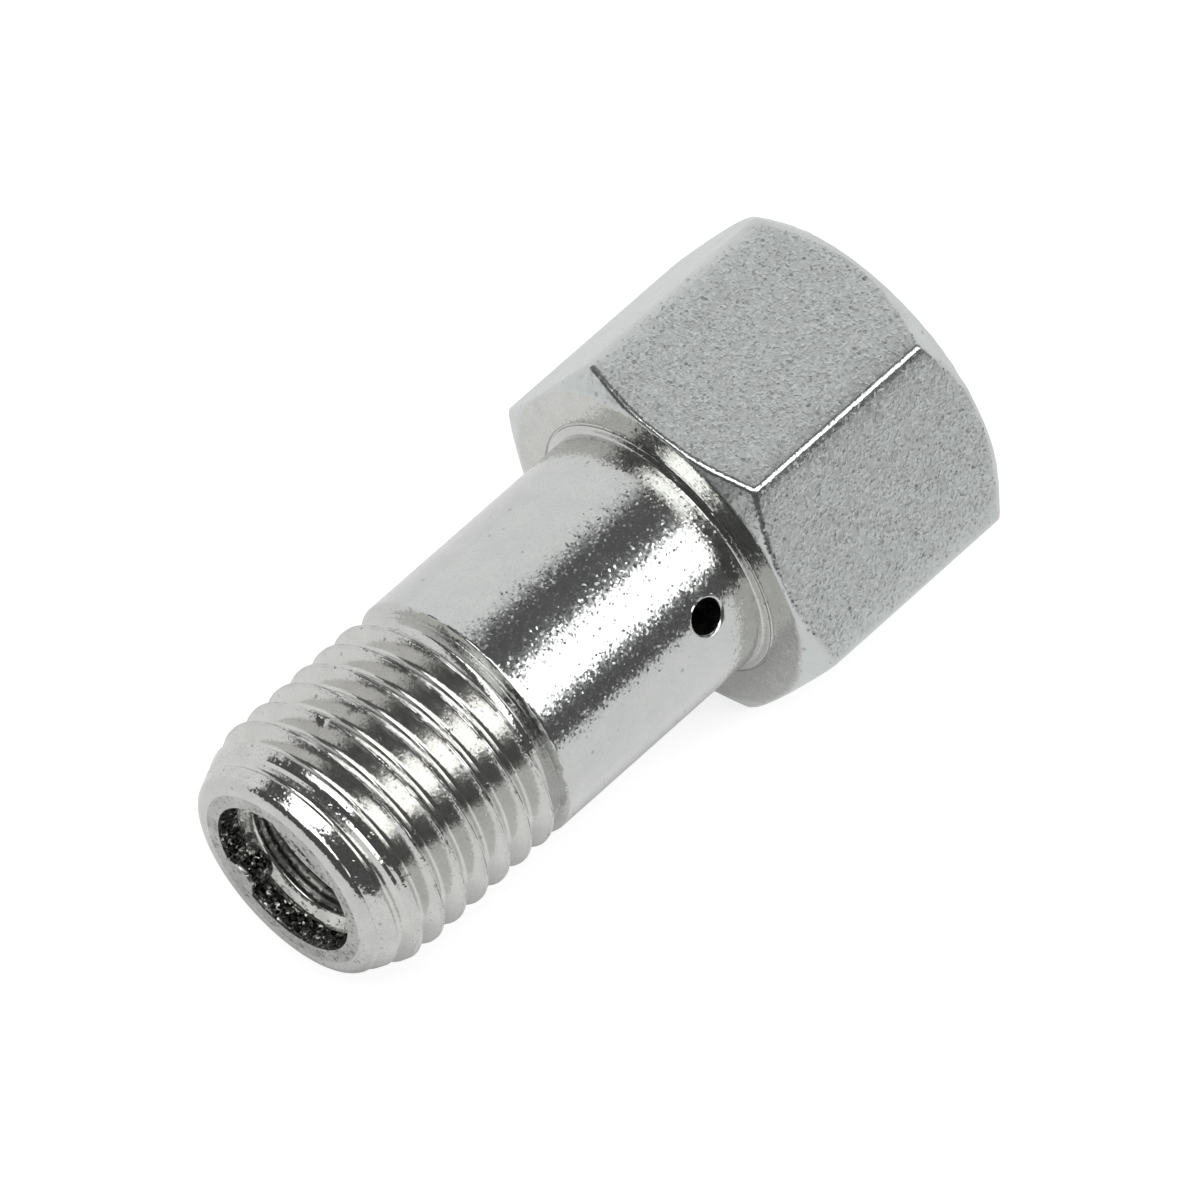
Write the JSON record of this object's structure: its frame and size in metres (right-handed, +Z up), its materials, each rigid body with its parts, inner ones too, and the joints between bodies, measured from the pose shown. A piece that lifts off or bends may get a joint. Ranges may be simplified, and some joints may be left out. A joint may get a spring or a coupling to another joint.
{
  "type": "banjo bolt",
  "caption": "Hexagon-head banjo bolt with a blind bore, a countersunk outlet hole in its smooth shank and a seat ring staked into its threaded tip.",
  "frame": {"origin": "on the surface that the bolt lies on, under the middle of its length", "axes": "+X along the bolt's axis, from the threaded tip to the head; +Z up, square to the flat of the hexagon that it lies on"},
  "size_m": [0.04, 0.0216, 0.0188],
  "materials": {
    "plated_steel": "satin zinc plate",
    "ring_steel": "turned"
  },
  "bodies": {
    "root": {"bolt_body": "plated_steel", "seat_ring": "ring_steel"}
  },
  "joints": []
}
